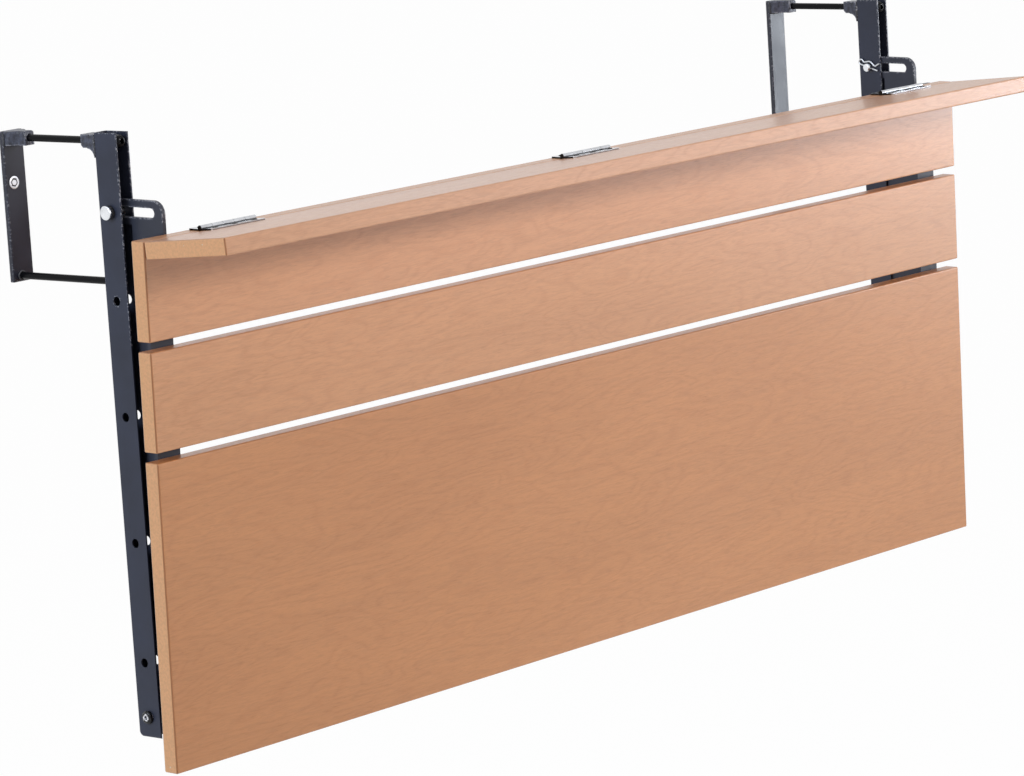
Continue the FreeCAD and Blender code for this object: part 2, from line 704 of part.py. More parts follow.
def make_foot_bolt(label, side):
    body = new_body(label)
    outer = "Sizes.channel_from_end"
    inner = outer + " + Sizes.channel_width"
    profile = sketch(body, "XY_Plane")
    outline(profile, [
        (inward(side, outer + " - Sizes.foot_head_height"), "0"),
        (inward(side, outer + " - Sizes.foot_head_height"), "Sizes.foot_head_diameter / 2"),
        (inward(side, outer), "Sizes.foot_head_diameter / 2"),
        (inward(side, outer), "Sizes.foot_bolt_diameter / 2"),
        (inward(side, inner + " + Sizes.foot_nut_thick + 1"), "Sizes.foot_bolt_diameter / 2"),
        (inward(side, inner + " + Sizes.foot_nut_thick + 1"), "0"),
    ])
    turn(body, profile, "H_Axis")
    crown = inward(side, outer + " - Sizes.foot_head_height")
    round_off(body, "Sizes.foot_head_round", lambda middle, edge: near(middle.x, crown))
    key = sketch(body, "YZ_Plane", crown)
    hexagon(key, "0", "0", "Sizes.foot_key")
    cut(body, key, "Sizes.foot_key_depth", back=side < 0)
    place_on_bracket(body, side, "0", "0", FOOT)


def make_foot_sleeve(label, side):
    body = new_body(label)
    level = start_of(side, "Sizes.channel_from_end + Sizes.channel_wall",
                     "Sizes.channel_from_end + Sizes.channel_width - Sizes.channel_wall")
    barrel = circles(sketch(body, "YZ_Plane", level), [("0", "0")], "2 * " + SLEEVE_RADIUS)
    pad(body, barrel, "Sizes.channel_width - 2 * Sizes.channel_wall")
    cut(body, circles(sketch(body, "YZ_Plane"), [("0", "0")], "Sizes.foot_bolt_diameter + 2 * Sizes.fit_gap"))
    place_on_bracket(body, side, "0", "0", FOOT)


def make_foot_nut(label, side):
    body = new_body(label)
    near_face = "Sizes.channel_from_end + Sizes.channel_width"
    level = start_of(side, near_face, near_face + " + Sizes.foot_nut_thick")
    pad(body, hexagon(sketch(body, "YZ_Plane", level), "0", "0", "Sizes.foot_nut_flats"),
        "Sizes.foot_nut_thick")
    cut(body, circles(sketch(body, "YZ_Plane"), [("0", "0")], "Sizes.foot_bolt_diameter + 2 * Sizes.fit_gap"))
    place_on_bracket(body, side, "0", "0", FOOT)


# Clamps: bar with its screw block and guide rod, seen from the bar's front face
CHANNEL_MIDDLE = "Sizes.channel_from_end + Sizes.channel_width / 2"


def make_clamp_bar(label, side):
    body = new_body(label)
    face = sketch(body, "XZ_Plane")
    rectangle(face, "-Sizes.bar_width / 2", "Sizes.bar_width / 2", "-Sizes.bar_below_pin", "Sizes.bar_above_pin")
    pad(body, face, "Sizes.bar_thick", back=True)
    round_off(body, "Sizes.bar_round", lambda middle, edge: True)
    if label.startswith("left"):
        spot = ("%d * Sizes.jaw_screw_shift" % side, "Sizes.jaw_screw_rise")
        hole = circles(sketch(body, "XZ_Plane"), [spot], "Sizes.jaw_screw_shank + 2 * Sizes.fit_gap")
        cut(body, hole)
    place_on_bracket(body, side, CHANNEL_MIDDLE, BAR_FRONT)


def make_clamp_block(label, side):
    body = new_body(label)
    plan = sketch(body, "XY_Plane", "Sizes.bar_above_pin - Sizes.block_height")
    outline(plan, [
        ("-Sizes.bar_width / 2 + Sizes.bar_round", "0"),
        ("-Sizes.bar_width / 2 + Sizes.bar_round", "-Sizes.block_length / 4"),
        ("-Sizes.block_nose / 2", "-Sizes.block_length * 0.6"),
        ("-Sizes.block_nose / 2", "-Sizes.block_length"),
        ("Sizes.block_nose / 2", "-Sizes.block_length"),
        ("Sizes.block_nose / 2", "-Sizes.block_length * 0.6"),
        ("Sizes.bar_width / 2 - Sizes.bar_round", "-Sizes.block_length / 4"),
        ("Sizes.bar_width / 2 - Sizes.bar_round", "0"),
    ])
    pad(body, plan, "Sizes.block_height")
    round_off(body, "Sizes.block_round", lambda middle, edge: (
        along(edge, AXIS_Z) and middle.y < -0.1 and not near(middle.y, "-Sizes.block_length")))
    round_off(body, "Sizes.block_top_round", lambda middle, edge: (
        near(middle.z, "Sizes.bar_above_pin") and middle.y < -0.1))
    bore = circles(sketch(body, "XZ_Plane"), [("0", "Sizes.screw_rise")],
                   "Sizes.screw_diameter + 2 * Sizes.screw_clearance")
    cut(body, bore)
    place_on_bracket(body, side, CHANNEL_MIDDLE, BAR_FRONT)


def make_guide_rod(label, side):
    body = new_body(label)
    profile = sketch(body, "YZ_Plane")
    outline(profile, [
        ("0", "0"),
        ("0", "Sizes.guide_diameter / 2"),
        ("1 - Sizes.guide_length", "Sizes.guide_diameter / 2"),
        ("-Sizes.guide_length", "Sizes.guide_diameter / 2 - 1"),
        ("-Sizes.guide_length", "0"),
    ])
    turn(body, profile, "H_Axis")
    place_on_bracket(body, side, "Sizes.guide_from_end", BAR_FRONT, "-Sizes.guide_drop")


def make_clamp_screw(label, side):
    body = new_body(label)
    head_back = "-Sizes.screw_reach + Sizes.screw_head_length"
    profile = sketch(body, "YZ_Plane")
    outline(profile, [
        ("-Sizes.screw_reach", "0"),
        ("-Sizes.screw_reach", "Sizes.screw_head_diameter / 2"),
        (head_back, "Sizes.screw_head_diameter / 2"),
        (head_back, "Sizes.screw_diameter / 2"),
        ("-Sizes.screw_end_gap", "Sizes.screw_diameter / 2"),
        ("-Sizes.screw_end_gap", "0"),
    ])
    turn(body, profile, "H_Axis")
    round_off(body, "Sizes.screw_head_round", lambda middle, edge: near(middle.y, "-Sizes.screw_reach"))
    key = sketch(body, "XZ_Plane", "Sizes.screw_reach")
    hexagon(key, "0", "0", "Sizes.screw_key")
    cut(body, key, "Sizes.screw_key_depth")
    place_on_bracket(body, side, CHANNEL_MIDDLE, BAR_FRONT, "Sizes.screw_rise")


# Jaw screw: a flat bright head on the left bar's front face, a little towards the table's end
def make_jaw_screw(label, side):
    body = new_body(label)
    profile = sketch(body, "YZ_Plane")
    outline(profile, [
        ("-Sizes.jaw_screw_thick", "0"),
        ("-Sizes.jaw_screw_thick", "Sizes.jaw_screw_head / 2"),
        ("0", "Sizes.jaw_screw_head / 2"),
        ("0", "Sizes.jaw_screw_shank / 2"),
        ("Sizes.bar_thick", "Sizes.jaw_screw_shank / 2"),
        ("Sizes.bar_thick", "0"),
    ])
    turn(body, profile, "H_Axis")
    round_off(body, "Sizes.jaw_screw_thick / 2", lambda middle, edge: near(middle.y, "-Sizes.jaw_screw_thick"))
    key = sketch(body, "XZ_Plane", "Sizes.jaw_screw_thick")
    hexagon(key, "0", "0", "Sizes.foot_key")
    cut(body, key, "Sizes.jaw_screw_thick")
    place_on_bracket(body, side, CHANNEL_MIDDLE + " - Sizes.jaw_screw_shift", BAR_FRONT, "Sizes.jaw_screw_rise")


for name, side in SIDES.items():
    make_rail(name + "_rail", side)
    make_ear(name + "_rail_ear", side)
    make_rail_screws(name + "_rail_screws", side)
    make_channel(name + "_channel", side)
    make_boss(name + "_screw_boss", side)
    make_pin(name + "_pivot_pin", side)
    make_pin_washer(name + "_pin_washer", side)
    make_clip(name + "_pin_clip", side)
    make_foot_bolt(name + "_foot_bolt", side)
    make_foot_sleeve(name + "_foot_sleeve", side)
    make_foot_nut(name + "_foot_nut", side)
    make_clamp_bar(name + "_clamp_bar", side)
    make_clamp_block(name + "_clamp_block", side)
    make_guide_rod(name + "_guide_rod", side)
    make_clamp_screw(name + "_clamp_screw", side)
make_jaw_screw("left_jaw_screw", SIDES["left"])

# Test every object, then write one file for each piece
doc.recompute()
for item in doc.Objects:
    if "Invalid" in item.State or "Error" in item.State:
        raise ValueError("%s failed: %s" % (item.Label, item.State))
os.makedirs("parts", exist_ok=True)
for item in pieces:
    if item.Shape.isNull() or not item.Shape.isValid():
        raise ValueError("%s has no valid shape" % item.Label)
    item.Shape.exportStep("parts/%s.step" % item.Label)
print(len(pieces), "pieces")
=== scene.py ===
import json
import math

import bmesh
import bpy
import numpy as np
from mathutils import Matrix, Vector


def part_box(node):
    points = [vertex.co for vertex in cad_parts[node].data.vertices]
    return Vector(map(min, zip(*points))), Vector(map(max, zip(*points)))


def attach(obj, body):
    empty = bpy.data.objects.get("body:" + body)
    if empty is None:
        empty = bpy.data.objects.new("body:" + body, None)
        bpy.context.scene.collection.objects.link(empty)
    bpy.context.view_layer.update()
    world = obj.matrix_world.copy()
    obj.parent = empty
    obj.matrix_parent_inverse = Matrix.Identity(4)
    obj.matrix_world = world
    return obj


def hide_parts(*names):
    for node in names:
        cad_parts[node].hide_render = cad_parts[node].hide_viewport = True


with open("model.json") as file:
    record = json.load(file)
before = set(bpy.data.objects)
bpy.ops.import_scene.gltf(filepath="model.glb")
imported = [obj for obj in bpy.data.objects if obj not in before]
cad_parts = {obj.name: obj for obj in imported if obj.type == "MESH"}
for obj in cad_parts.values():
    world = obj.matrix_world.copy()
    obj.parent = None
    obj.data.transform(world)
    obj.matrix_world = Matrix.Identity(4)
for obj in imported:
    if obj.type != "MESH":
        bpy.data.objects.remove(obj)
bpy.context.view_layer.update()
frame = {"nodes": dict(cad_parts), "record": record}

NODES = frame["nodes"]
scene = bpy.context.scene
scene.view_settings.view_transform = "Standard"

# Lengths are in metres unless a name says otherwise
MM = 0.001

# Places that the solids give: the brackets' middle, the pins' depth, the lean of the hanging boards
BRACKET_X = 561 * MM
PIN_Y = -14 * MM
TABLE_LEAN = math.radians(1)
SHELF_RISE = math.radians(5.5)
HINGE_AXIS = np.array([0, -85.72, -16.75]) * MM
HINGE_MIDDLES = (-495 * MM, 0, 510 * MM)
HINGE_SCREW_STEP = 25 * MM
HINGE_SCREW_OUT = 9 * MM
LEAF_TOP = -1.0 * MM
BAR_FRONT_Y = 113 * MM
SIDES = {"left": -1, "right": 1}
EAST = (1, 0, 0)
NORTH = (0, 1, 0)


# Camera: the photograph's place, long lens and slight roll, with angles in degrees
CAMERA_PLACE = (-3.5577, -3.1327, 0.5274)
CAMERA_TURN = 48.378
CAMERA_DOWN = 9.339
CAMERA_ROLL = -3.656
LENS_MM = 171.66
SENSOR_MM = 36

camera = bpy.data.objects.new("camera", bpy.data.cameras.new("camera"))
camera.data.lens = LENS_MM
camera.data.sensor_width = SENSOR_MM
camera.data.clip_end = 100
turn = Matrix.Rotation(math.radians(-CAMERA_TURN), 4, "Z")
tilt = Matrix.Rotation(math.radians(90 - CAMERA_DOWN), 4, "X")
roll = Matrix.Rotation(math.radians(CAMERA_ROLL), 4, "Z")
camera.matrix_world = Matrix.Translation(CAMERA_PLACE) @ turn @ tilt @ roll
scene.collection.objects.link(camera)
scene.camera = camera


# Node helpers
NOISE_ROUGHNESS = 0.55
EDGE_SAMPLES = 6
CREVICE_SAMPLES = 8
RAGGED_SCALE = 700


def new_material(name):
    """A material with its node tree and its shader."""
    material = bpy.data.materials.new(name)
    material.use_nodes = True
    tree = material.node_tree
    return material, tree, tree.nodes["Principled BSDF"]


def feed(tree, socket, value):
    """Gives a socket a link, a number or a colour."""
    if isinstance(value, bpy.types.NodeSocket):
        tree.links.new(value, socket)
    elif isinstance(value, (int, float)):
        socket.default_value = value
    else:
        socket.default_value = (*value, 1)


def object_space(tree):
    """The place on the piece itself, in metres."""
    return tree.nodes.new("ShaderNodeTexCoord").outputs["Object"]


def stretched(tree, scale, moved=(0, 0, 0)):
    """Object coordinates, scaled along each axis, for a pattern that stays on the piece."""
    mapping = tree.nodes.new("ShaderNodeMapping")
    mapping.inputs["Scale"].default_value = scale
    mapping.inputs["Location"].default_value = moved
    tree.links.new(object_space(tree), mapping.inputs["Vector"])
    return mapping.outputs["Vector"]


def noise(tree, vector, scale=1, detail=3, distortion=0):
    """Noise from 0 to 1, mostly near a half."""
    node = tree.nodes.new("ShaderNodeTexNoise")
    node.inputs["Scale"].default_value = scale
    node.inputs["Detail"].default_value = detail
    node.inputs["Roughness"].default_value = NOISE_ROUGHNESS
    node.inputs["Distortion"].default_value = distortion
    tree.links.new(vector, node.inputs["Vector"])
    return node.outputs["Fac"]


def ramp(tree, value, *stops):
    """Maps a value through stops of (place, colour or grey)."""
    node = tree.nodes.new("ShaderNodeValToRGB")
    elements = node.color_ramp.elements
    while len(elements) < len(stops):
        elements.new(0.5)
    for element, (place, colour) in zip(elements, stops):
        element.position = place
        grey = isinstance(colour, (int, float))
        element.color = (colour, colour, colour, 1) if grey else (*colour, 1)
    tree.links.new(value, node.inputs["Fac"])
    return node.outputs["Color"]


def mix(tree, amount, first, second, blend="MIX"):
    """Two colours mixed by an amount, or blended in the way named."""
    node = tree.nodes.new("ShaderNodeMix")
    node.data_type = "RGBA"
    node.blend_type = blend
    sockets = [item for item in node.inputs if item.enabled]
    for socket, value in zip(sockets, (amount, first, second)):
        feed(tree, socket, value)
    return [item for item in node.outputs if item.enabled][0]


def calc(tree, operation, first, second=0.0):
    """A sum, product or comparison of two values, or a change of one."""
    node = tree.nodes.new("ShaderNodeMath")
    node.operation = operation
    feed(tree, node.inputs[0], first)
    feed(tree, node.inputs[1], second)
    return node.outputs[0]


def bump(tree, shader, height, strength, distance, under=None):
    """Raises and sinks the surface by a height, on top of another normal where one is given."""
    node = tree.nodes.new("ShaderNodeBump")
    node.inputs["Strength"].default_value = strength
    node.inputs["Distance"].default_value = distance
    tree.links.new(height, node.inputs["Height"])
    if under is not None:
        tree.links.new(under, node.inputs["Normal"])
    tree.links.new(node.outputs["Normal"], shader.inputs["Normal"])


def soft_edges(tree, radius):
    """A normal that rounds sharp edges over a small radius."""
    node = tree.nodes.new("ShaderNodeBevel")
    node.samples = EDGE_SAMPLES
    node.inputs["Radius"].default_value = radius
    return node.outputs["Normal"]


def normal_parts(tree):
    """X, Y and Z of the surface's normal on the piece itself."""
    parts = tree.nodes.new("ShaderNodeSeparateXYZ")
    tree.links.new(tree.nodes.new("ShaderNodeTexCoord").outputs["Normal"], parts.inputs[0])
    return parts.outputs


def place_parts(tree):
    """X, Y and Z of the place on the piece itself."""
    parts = tree.nodes.new("ShaderNodeSeparateXYZ")
    tree.links.new(object_space(tree), parts.inputs[0])
    return parts.outputs


def near_spot(tree, spot, radius):
    """1 within a ragged radius of a spot, 0 outside it: twice the radius times noise, which is mostly
    near a half."""
    apart = tree.nodes.new("ShaderNodeVectorMath")
    apart.operation = "DISTANCE"
    tree.links.new(object_space(tree), apart.inputs[0])
    apart.inputs[1].default_value = spot
    ragged = calc(tree, "MULTIPLY", noise(tree, object_space(tree), RAGGED_SCALE, detail=2), 2 * radius)
    return calc(tree, "LESS_THAN", apart.outputs["Value"], ragged)


# Wood: beech with grain along X, curly figure, wavy flecks, fine pores and lighter end grain
WOOD_DEEP = (0.56, 0.248, 0.098)
WOOD_TAN = (0.61, 0.280, 0.118)
WOOD_PINK = (0.64, 0.305, 0.145)
END_TAN = (0.85, 0.42, 0.18)
CORNER_BROWN = (0.38, 0.15, 0.055)
# Pale bare wood, for the nicks and for the painted highlight on the back corners of the end faces
BARE_WOOD_AND_HIGHLIGHT = (0.82, 0.60, 0.40)
RING_TINT = (0.91, 0.86, 0.79)
RINGS = 13.0
WOOD_COAT = 0.6
WOOD_COAT_ROUGHNESS = 0.26
GRAIN_STRENGTH = 0.22
GRAIN_DEPTH = 0.3 * MM

# Spots of each pattern in a metre along X, Y and Z
PLANK_SCALE = (0.9, 2.6, 2.6)
ARCH_SCALE = (1.1, 20, 20)
FIGURE_SCALE = (4.5, 22, 22)
FLECK_SCALE = (40, 420, 420)
PORE_SCALE = (120, 1500, 1500)
SPECKLE_SCALE = (900, 420, 420)


def make_wood(name, shift, tint=(1, 1, 1), nicks=()):
    """Oiled beech with bare wood at its nicks. The shift moves its patterns, so no two boards match."""
    material, tree, shader = new_material(name)
    broad = noise(tree, stretched(tree, PLANK_SCALE, shift), detail=2)
    colour = ramp(tree, broad, (0.34, WOOD_DEEP), (0.5, WOOD_TAN), (0.66, WOOD_PINK))
    colour = mix(tree, 1.0, colour, tint, "MULTIPLY")

    # Growth lines, curly figure, wavy flecks and pores, each finer than the one before
    arches = noise(tree, stretched(tree, ARCH_SCALE, shift), detail=4, distortion=0.3)
    arch_tone = ramp(tree, arches, (0.40, 0.92), (0.50, 1.0), (0.60, 0.94))
    colour = mix(tree, 0.5, colour, arch_tone, "MULTIPLY")
    figure = noise(tree, stretched(tree, FIGURE_SCALE, shift), detail=2, distortion=0.5)
    rings = calc(tree, "PINGPONG", calc(tree, "MULTIPLY", figure, RINGS), 0.5)
    line = ramp(tree, rings, (0.0, RING_TINT), (0.24, (1, 1, 1)), (0.45, (1.02, 1.02, 1.01)))
    colour = mix(tree, 0.55, colour, line, "MULTIPLY")
    flecks = noise(tree, stretched(tree, FLECK_SCALE, shift), detail=2, distortion=1.4)
    fleck_tone = ramp(tree, flecks, (0.34, 0.91), (0.50, 1.0), (0.64, 1.06))
    colour = mix(tree, 0.7, colour, fleck_tone, "MULTIPLY")
    pores = noise(tree, stretched(tree, PORE_SCALE, shift), detail=1)
    colour = mix(tree, 0.35, colour, ramp(tree, pores, (0.56, 1.0), (0.70, 0.80)), "MULTIPLY")

    # End grain, a dark line on the front corner, and a painted highlight in the pale colour of bare
    # wood on the back corner
    across, depth, _ = normal_parts(tree)
    end_on = calc(tree, "ABSOLUTE", across)
    speckle = noise(tree, stretched(tree, SPECKLE_SCALE, shift), detail=2)
    end_tone = mix(tree, 0.6, END_TAN, ramp(tree, speckle, (0.35, 0.86), (0.62, 1.05)), "MULTIPLY")
    colour = mix(tree, ramp(tree, end_on, (0.70, 0.0), (0.92, 1.0)), colour, end_tone)
    front_corner = calc(tree, "MULTIPLY", end_on, calc(tree, "MULTIPLY", depth, -2.0))
    cornered = ramp(tree, front_corner, (0.20, 0.0), (0.65, 0.9))
    colour = mix(tree, cornered, colour, CORNER_BROWN)
    # Painted highlight: the rounded back corner of each end face is lightened as if catching light from
    # behind
    back_corner_highlight = calc(tree, "MULTIPLY", end_on, calc(tree, "MULTIPLY", depth, 2.0))
    colour = mix(tree, ramp(tree, back_corner_highlight, (0.20, 0.0), (0.70, 0.6)), colour, BARE_WOOD_AND_HIGHLIGHT)
    for spot, radius in nicks:
        colour = mix(tree, near_spot(tree, spot, radius), colour, BARE_WOOD_AND_HIGHLIGHT)
    tree.links.new(colour, shader.inputs["Base Color"])
    tree.links.new(ramp(tree, pores, (0.4, 0.42), (0.7, 0.56)), shader.inputs["Roughness"])
    shader.inputs["Specular IOR Level"].default_value = 0.5
    coated = calc(tree, "MULTIPLY", calc(tree, "SUBTRACT", 1.0, cornered), WOOD_COAT)
    tree.links.new(coated, shader.inputs["Coat Weight"])
    shader.inputs["Coat Roughness"].default_value = WOOD_COAT_ROUGHNESS
    height = mix(tree, 0.5, flecks, pores)
    bump(tree, shader, height, GRAIN_STRENGTH, GRAIN_DEPTH)
    return material


# Steel: black powder coat with a fine texture, worn grey specks on its edges
WORN_GREY = (0.42, 0.42, 0.45)
WORN_WIDTH = 2.8 * MM
SPECK_SCALE = 420

# Mottle and texture in spots a metre, spread as a share of the colour, strength and depth of the bump
FINE = {"mottle": 24, "spread": 0.16, "texture": 1500, "strength": 0.14, "depth": 0.3 * MM}
# The rough surface's wide spread paints mottled highlights and shade: lighter and darker spots of the
# coat's colour on the welded blocks
ROUGH_WITH_PAINTED_HIGHLIGHTS = {"mottle": 260, "spread": 0.6, "texture": 330, "strength": 0.9, "depth": 0.8 * MM}


def make_coat(name, roughness, colour, edge, wear=0.57, gloss=0.3, surface=FINE, worn_from=None):
    """Painted steel, its edges softened over a radius. Specks of grey show at the edges where the noise
    is above wear and, where a height is given, the place is above that height."""
    material, tree, shader = new_material(name)
    rounded = soft_edges(tree, edge)
    geometry = tree.nodes.new("ShaderNodeNewGeometry")
    facing = tree.nodes.new("ShaderNodeVectorMath")
    facing.operation = "DOT_PRODUCT"
    tree.links.new(soft_edges(tree, WORN_WIDTH), facing.inputs[0])
    tree.links.new(geometry.outputs["Normal"], facing.inputs[1])
    on_edge = ramp(tree, facing.outputs["Value"], (0.90, 1.0), (0.99, 0.0))
    specked = noise(tree, object_space(tree), SPECK_SCALE)
    specks = ramp(tree, specked, (wear - 0.03, 0.0), (wear + 0.03, 1.0))
    worn = mix(tree, 1.0, on_edge, specks, "MULTIPLY")
    if worn_from is not None:
        above = calc(tree, "GREATER_THAN", place_parts(tree)["Z"], worn_from)
        worn = calc(tree, "MULTIPLY", worn, above)
    # Mottle: random spots of lighter and darker coat; with a wide spread, as on the welded blocks, they
    # are painted highlights and shade
    mottle = noise(tree, object_space(tree), surface["mottle"])
    darker = tuple((1 - surface["spread"]) * part for part in colour)
    lighter = tuple((1 + surface["spread"]) * part for part in colour)
    shade = ramp(tree, mottle, (0.3, darker), (0.7, lighter))
    tree.links.new(mix(tree, worn, shade, WORN_GREY), shader.inputs["Base Color"])
    low = max(roughness - 0.05, 0.05)
    tree.links.new(ramp(tree, mottle, (0.3, low), (0.7, roughness + 0.07)), shader.inputs["Roughness"])
    shader.inputs["Specular IOR Level"].default_value = gloss
    texture = noise(tree, object_space(tree), surface["texture"], detail=2)
    bump(tree, shader, texture, surface["strength"], surface["depth"], rounded)
    return material


def crevices(tree, reach):
    """1 on open faces, falling to 0 in corners and recesses closer than the reach."""
    node = tree.nodes.new("ShaderNodeAmbientOcclusion")
    node.samples = CREVICE_SAMPLES
    node.inputs["Distance"].default_value = reach
    return ramp(tree, node.outputs["AO"], (0.35, 0.0), (0.85, 1.0))


# Colours of painted shade: in crevices, inside a groove, and on ends that face along X
CREVICE_SHADE = (0.03, 0.03, 0.03)
GROOVE_SHADE = (0.05, 0.05, 0.055)
END_SHADE = (0.02, 0.018, 0.016)
STREAK_SCALE = (60, 900, 900)
CLOUD_SCALE = 90
PLATE_CREVICE = 2.2 * MM
PLATE_EDGE = 0.3 * MM


def make_bright(name, colour, roughness, shaded_ends=0.0, grooved=None):
    """Bright plate: metal with faint streaks of rubbing, and painted shade darkening its crevices.
    Painted shade also darkens its ends facing along X by the share given for the ends, and all that
    lies past the Y in grooved."""
    material, tree, shader = new_material(name)
    streaks = noise(tree, stretched(tree, STREAK_SCALE), detail=2)
    cloud = noise(tree, object_space(tree), CLOUD_SCALE)
    shader.inputs["Metallic"].default_value = 1.0
    tone = ramp(tree, cloud, (0.3, tuple(0.80 * part for part in colour)), (0.65, colour))
    # Painted shade: the ends that face along X are darkened
    if shaded_ends:
        across = normal_parts(tree)[0]
        end_on = ramp(tree, calc(tree, "ABSOLUTE", across), (0.6, 0.0), (0.9, shaded_ends))
        tone = mix(tree, end_on, tone, END_SHADE)
    # Painted shade: crevices and recesses are darkened
    tone = mix(tree, crevices(tree, PLATE_CREVICE), CREVICE_SHADE, tone)
    # Painted shade: all that lies deeper than the groove's edge is darkened
    if grooved is not None:
        behind = calc(tree, "GREATER_THAN", place_parts(tree)["Y"], grooved)
        tone = mix(tree, behind, tone, GROOVE_SHADE)
    tree.links.new(tone, shader.inputs["Base Color"])
    tree.links.new(ramp(tree, streaks, (0.3, roughness - 0.06), (0.7, roughness + 0.1)),
                   shader.inputs["Roughness"])
    bump(tree, shader, streaks, 0.06, 0.1 * MM, soft_edges(tree, PLATE_EDGE))
    return material


PLASTIC_DARK = (0.018, 0.018, 0.02)
PLASTIC_LIGHT = (0.03, 0.03, 0.033)
PLASTIC_CLOUD = 120
PLASTIC_TEXTURE = 900
PLASTIC_EDGE = 0.4 * MM


def make_plastic(name):
    """Matt black plastic with a faint cloud and a fine texture."""
    material, tree, shader = new_material(name)
    cloud = noise(tree, object_space(tree), PLASTIC_CLOUD, detail=2)
    tone = ramp(tree, cloud, (0.3, PLASTIC_DARK), (0.7, PLASTIC_LIGHT))
    tree.links.new(tone, shader.inputs["Base Color"])
    shader.inputs["Roughness"].default_value = 0.55
    texture = noise(tree, object_space(tree), PLASTIC_TEXTURE)
    bump(tree, shader, texture, 0.1, 0.1 * MM, soft_edges(tree, PLASTIC_EDGE))
    return material


WELD_DARK = (0.022, 0.023, 0.028)
WELD_THIN = (0.06, 0.06, 0.07)
LUMP_SCALE = 420
LUMP_DEPTH = 0.5 * MM


def make_weld(name):
    """Weld metal under the coat: lumpy, with grey where the coat is thin."""
    material, tree, shader = new_material(name)
    lumps = noise(tree, object_space(tree), LUMP_SCALE, detail=4)
    tone = ramp(tree, lumps, (0.45, WELD_DARK), (0.60, WELD_THIN), (0.72, WORN_GREY))
    tree.links.new(tone, shader.inputs["Base Color"])
    shader.inputs["Roughness"].default_value = 0.42
    bump(tree, shader, lumps, 0.7, LUMP_DEPTH)
    return material


BOLT_BLACK = (0.005, 0.005, 0.006)
RING_HIGHLIGHT_METAL = (0.75, 0.76, 0.80)
RING_HIGHLIGHT_RADIUS = 3.0 * MM
KEY_HOLE_REACH = 1.6 * MM


def make_bolt(node):
    """Black bolt with a painted highlight: a ring of bright metal around its key hole, kept off the
    hole's own recess.
    """
    material = make_coat("black steel of " + node, 0.24, BOLT_BLACK, 0.3 * MM)
    tree = material.node_tree
    shader = tree.nodes["Principled BSDF"]
    low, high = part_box(node)
    outer = low[0] if low[0] < 0 else high[0]
    spot = (outer, (low[1] + high[1]) / 2, (low[2] + high[2]) / 2)
    # Painted highlight: bright metal in a ring around the key hole
    around = near_spot(tree, spot, RING_HIGHLIGHT_RADIUS)
    ring_highlight = calc(tree, "MULTIPLY", around, crevices(tree, KEY_HOLE_REACH))
    under = shader.inputs["Base Color"].links[0].from_socket
    tree.links.new(mix(tree, ring_highlight, under, RING_HIGHLIGHT_METAL), shader.inputs["Base Color"])
    tree.links.new(ring_highlight, shader.inputs["Metallic"])
    return material


# Finishes. Wear shows only above these heights on the channels, and on the rails with their ears
CHANNEL_WEAR_FROM = -120 * MM
RAIL_WEAR_FROM = -9 * MM
GROOVE_DEPTH = 0.45 * MM
coat = make_coat("black powder coat", 0.40, (0.034, 0.039, 0.061), 0.6 * MM,
                 worn_from=CHANNEL_WEAR_FROM)
rail_coat = make_coat("black powder coat on rails", 0.40, (0.040, 0.044, 0.062), 0.12 * MM,
                      wear=0.51, worn_from=RAIL_WEAR_FROM)
rough_coat = make_coat("black coat on welded blocks", 0.36, (0.058, 0.062, 0.086), 1.2 * MM,
                       wear=0.50, gloss=0.4, surface=ROUGH_WITH_PAINTED_HIGHLIGHTS)
bar_coat = make_coat("black powder coat on clamp bars", 0.34, (0.013, 0.015, 0.029), 0.6 * MM,
                     gloss=0.5)
gloss_black = make_coat("glossy black steel", 0.24, (0.004, 0.004, 0.005), 0.3 * MM,
                        wear=0.70, gloss=0.10)
dark_screw = make_coat("dark screw steel", 0.30, (0.014, 0.013, 0.013), 0.2 * MM, wear=0.70)
zinc = make_bright("zinc plate", (0.86, 0.88, 0.91), 0.24)
disc_zinc = make_bright("zinc plate of the jaw screw", (0.80, 0.81, 0.85), 0.42,
                        grooved=BAR_FRONT_Y - GROOVE_DEPTH)
clip_wire = make_bright("zinc plate on spring wire", (0.62, 0.64, 0.67), 0.30)
nickel = make_bright("nickel plate", (0.64, 0.65, 0.68), 0.20, shaded_ends=1.0)
plastic = make_plastic("black plastic")
weld_metal = make_weld("weld metal under black coat")

# Tints of two boards, and nicks where bare wood shows, each a place and a radius. The shelf's tint,
# bluer than the rest, is a painted sheen: the pale bluish veil of reflection on it
SHELF_SHEEN_TINT = (1.0, 1.04, 1.16)
SHELF_NICKS = [((-0.5995, -0.1580, -0.0185), 0.8 * MM), ((-0.5995, -0.1352, -0.0205), 0.6 * MM)]
LOWER_TINT = (0.90, 0.80, 0.60)
LOWER_NICKS = [((-0.5995, -0.0690, -0.4935), 1.0 * MM)]
boards = {
    "slat_top": make_wood("beech of the top slat", (0.0, 0.0, 0.0)),
    "slat_middle": make_wood("beech of the middle slat", (3.1, 0.4, 0.7)),
    "board_lower": make_wood("beech of the lower board", (7.3, 1.9, 0.2), LOWER_TINT, LOWER_NICKS),
    "shelf_board": make_wood("beech of the shelf", (11.9, 2.3, 1.4), SHELF_SHEEN_TINT, SHELF_NICKS),
}
SLOT_MATERIALS = {
    "black_steel": coat,
    "black_rod": gloss_black,
    "zinc": zinc,
    "bright_hinge": nickel,
    "black_plastic": plastic,
}
WELDED_BLOCKS = ("clamp_block", "screw_boss")
RAIL_PARTS = ("_rail", "_rail_ear")
